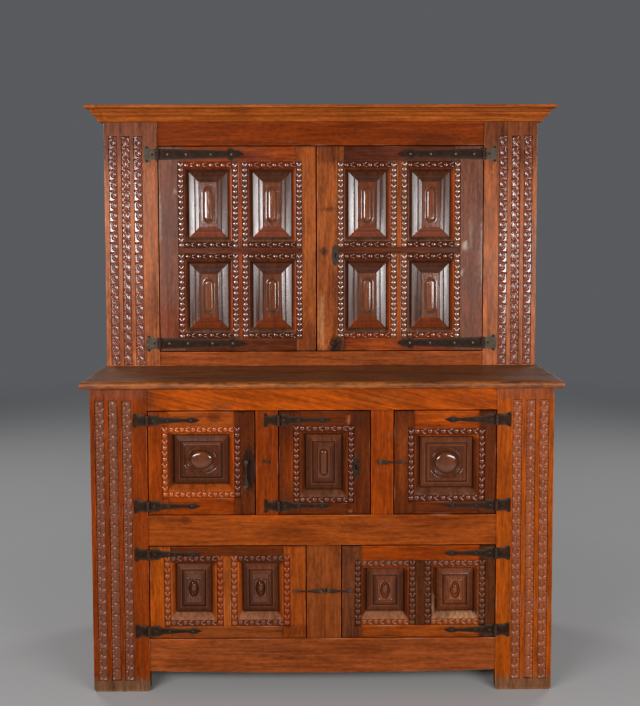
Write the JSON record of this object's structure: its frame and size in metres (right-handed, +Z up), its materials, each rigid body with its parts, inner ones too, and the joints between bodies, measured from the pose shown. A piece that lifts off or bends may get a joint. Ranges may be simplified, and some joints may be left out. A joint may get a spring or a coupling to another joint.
{
  "type": "two-part sideboard",
  "caption": "Two-part carved wooden sideboard with a set-back upper cupboard, panelled doors on forged strap hinges, hooks and sliding lock bolts.",
  "frame": {"origin": "on the floor, at the middle of the plan", "axes": "+X to the viewer's right, +Y from the front to the back, +Z up"},
  "size_m": [1.681, 0.63, 2],
  "materials": {
    "frame_wood": "waxed red-brown wood with a worn sheen",
    "door_wood": "dark polished wood with carved bands",
    "inner_wood": "bare aged wood, not polished",
    "top_wood": "dull worn brown wood with a thin bloom of dust",
    "forged_iron": "blackened hand-forged iron"
  },
  "bodies": {
    "case": {"lower_left_stile": "frame_wood", "lower_right_stile": "frame_wood", "lower_top_rail": "frame_wood", "lower_middle_rail": "frame_wood", "lower_bottom_rail": "frame_wood", "left_muntin": "frame_wood", "right_muntin": "frame_wood", "bottom_muntin": "frame_wood", "upper_left_stile": "frame_wood", "upper_right_stile": "frame_wood", "upper_top_rail": "frame_wood", "upper_bottom_rail": "frame_wood", "cornice": "frame_wood", "lower_left_side": "frame_wood", "lower_right_side": "frame_wood", "upper_left_side": "frame_wood", "upper_right_side": "frame_wood", "lower_back": "inner_wood", "lower_floor": "inner_wood", "lower_middle_board": "inner_wood", "upper_back": "inner_wood", "upper_floor": "inner_wood", "upper_shelf": "inner_wood", "waist_top": "top_wood", "upper_top_board": "top_wood", "left_muntin_staple": "forged_iron", "right_muntin_staple": "forged_iron", "bottom_muntin_staple": "forged_iron"},
    "upper_left_door": {"upper_left_door": "door_wood", "upper_left_door_top_strap": "forged_iron", "upper_left_door_bottom_strap": "forged_iron"},
    "upper_right_door": {"upper_right_door": "door_wood", "upper_right_door_top_strap": "forged_iron", "upper_right_door_bottom_strap": "forged_iron", "upper_escutcheon": "forged_iron", "upper_lock_case": "forged_iron"},
    "lower_left_door": {"lower_left_door": "door_wood", "lower_left_door_top_strap": "forged_iron", "lower_left_door_bottom_strap": "forged_iron"},
    "lower_centre_door": {"lower_centre_door": "door_wood", "lower_centre_door_top_strap": "forged_iron", "lower_centre_door_bottom_strap": "forged_iron", "lower_escutcheon": "forged_iron", "lower_lock_case": "forged_iron"},
    "lower_right_door": {"lower_right_door": "door_wood", "lower_right_door_top_strap": "forged_iron", "lower_right_door_bottom_strap": "forged_iron"},
    "bottom_left_door": {"bottom_left_door": "door_wood", "bottom_left_door_top_strap": "forged_iron", "bottom_left_door_bottom_strap": "forged_iron"},
    "bottom_right_door": {"bottom_right_door": "door_wood", "bottom_right_door_top_strap": "forged_iron", "bottom_right_door_bottom_strap": "forged_iron"},
    "upper_lock_bolt": {"upper_lock_bolt": "forged_iron"},
    "lower_lock_bolt": {"lower_lock_bolt": "forged_iron"},
    "lower_left_hook": {"lower_left_hook": "forged_iron"},
    "lower_right_hook": {"lower_right_hook": "forged_iron"},
    "bottom_left_hook": {"bottom_left_hook": "forged_iron"},
    "bottom_right_hook": {"bottom_right_hook": "forged_iron"}
  },
  "joints": [
    {"name": "upper_left_door_hinge", "type": "hinge", "parent": "case", "child": "upper_left_door", "pos_m": [-0.5895, 0.0187, 1.486], "axis": [0, 0, -1], "range_deg": [0, 110]},
    {"name": "upper_right_door_hinge", "type": "hinge", "parent": "case", "child": "upper_right_door", "pos_m": [0.5895, 0.0187, 1.486], "axis": [0, 0, 1], "range_deg": [0, 110]},
    {"name": "lower_left_door_hinge", "type": "hinge", "parent": "case", "child": "lower_left_door", "pos_m": [-0.5825, -0.2913, 0.782], "axis": [0, 0, -1], "range_deg": [0, 110]},
    {"name": "lower_centre_door_hinge", "type": "hinge", "parent": "case", "child": "lower_centre_door", "pos_m": [-0.14646, -0.2913, 0.782], "axis": [0, 0, -1], "range_deg": [0, 110]},
    {"name": "lower_right_door_hinge", "type": "hinge", "parent": "case", "child": "lower_right_door", "pos_m": [0.5825, -0.2913, 0.782], "axis": [0, 0, 1], "range_deg": [0, 110]},
    {"name": "bottom_left_door_hinge", "type": "hinge", "parent": "case", "child": "bottom_left_door", "pos_m": [-0.5825, -0.2913, 0.341], "axis": [0, 0, -1], "range_deg": [0, 110]},
    {"name": "bottom_right_door_hinge", "type": "hinge", "parent": "case", "child": "bottom_right_door", "pos_m": [0.5825, -0.2913, 0.341], "axis": [0, 0, 1], "range_deg": [0, 110]},
    {"name": "lower_left_hook_turn", "type": "hinge", "parent": "lower_left_door", "child": "lower_left_hook", "pos_m": [-0.25396, -0.285, 0.788], "axis": [0, -1, 0], "range_deg": [-80, 90]},
    {"name": "lower_right_hook_turn", "type": "hinge", "parent": "lower_right_door", "child": "lower_right_hook", "pos_m": [0.26803, -0.285, 0.786], "axis": [0, 1, 0], "range_deg": [0, 100]},
    {"name": "bottom_left_hook_turn", "type": "hinge", "parent": "bottom_left_door", "child": "bottom_left_hook", "pos_m": [-0.08804, -0.285, 0.349], "axis": [0, -1, 0], "range_deg": [0, 100]},
    {"name": "bottom_right_hook_turn", "type": "hinge", "parent": "bottom_right_door", "child": "bottom_right_hook", "pos_m": [0.09346, -0.285, 0.349], "axis": [0, 1, 0], "range_deg": [0, 100]},
    {"name": "upper_bolt_slide", "type": "slide", "parent": "upper_right_door", "child": "upper_lock_bolt", "axis": [-1, 0, 0], "range_m": [0, 0.016]},
    {"name": "lower_bolt_slide", "type": "slide", "parent": "lower_centre_door", "child": "lower_lock_bolt", "axis": [1, 0, 0], "range_m": [0, 0.016]}
  ]
}
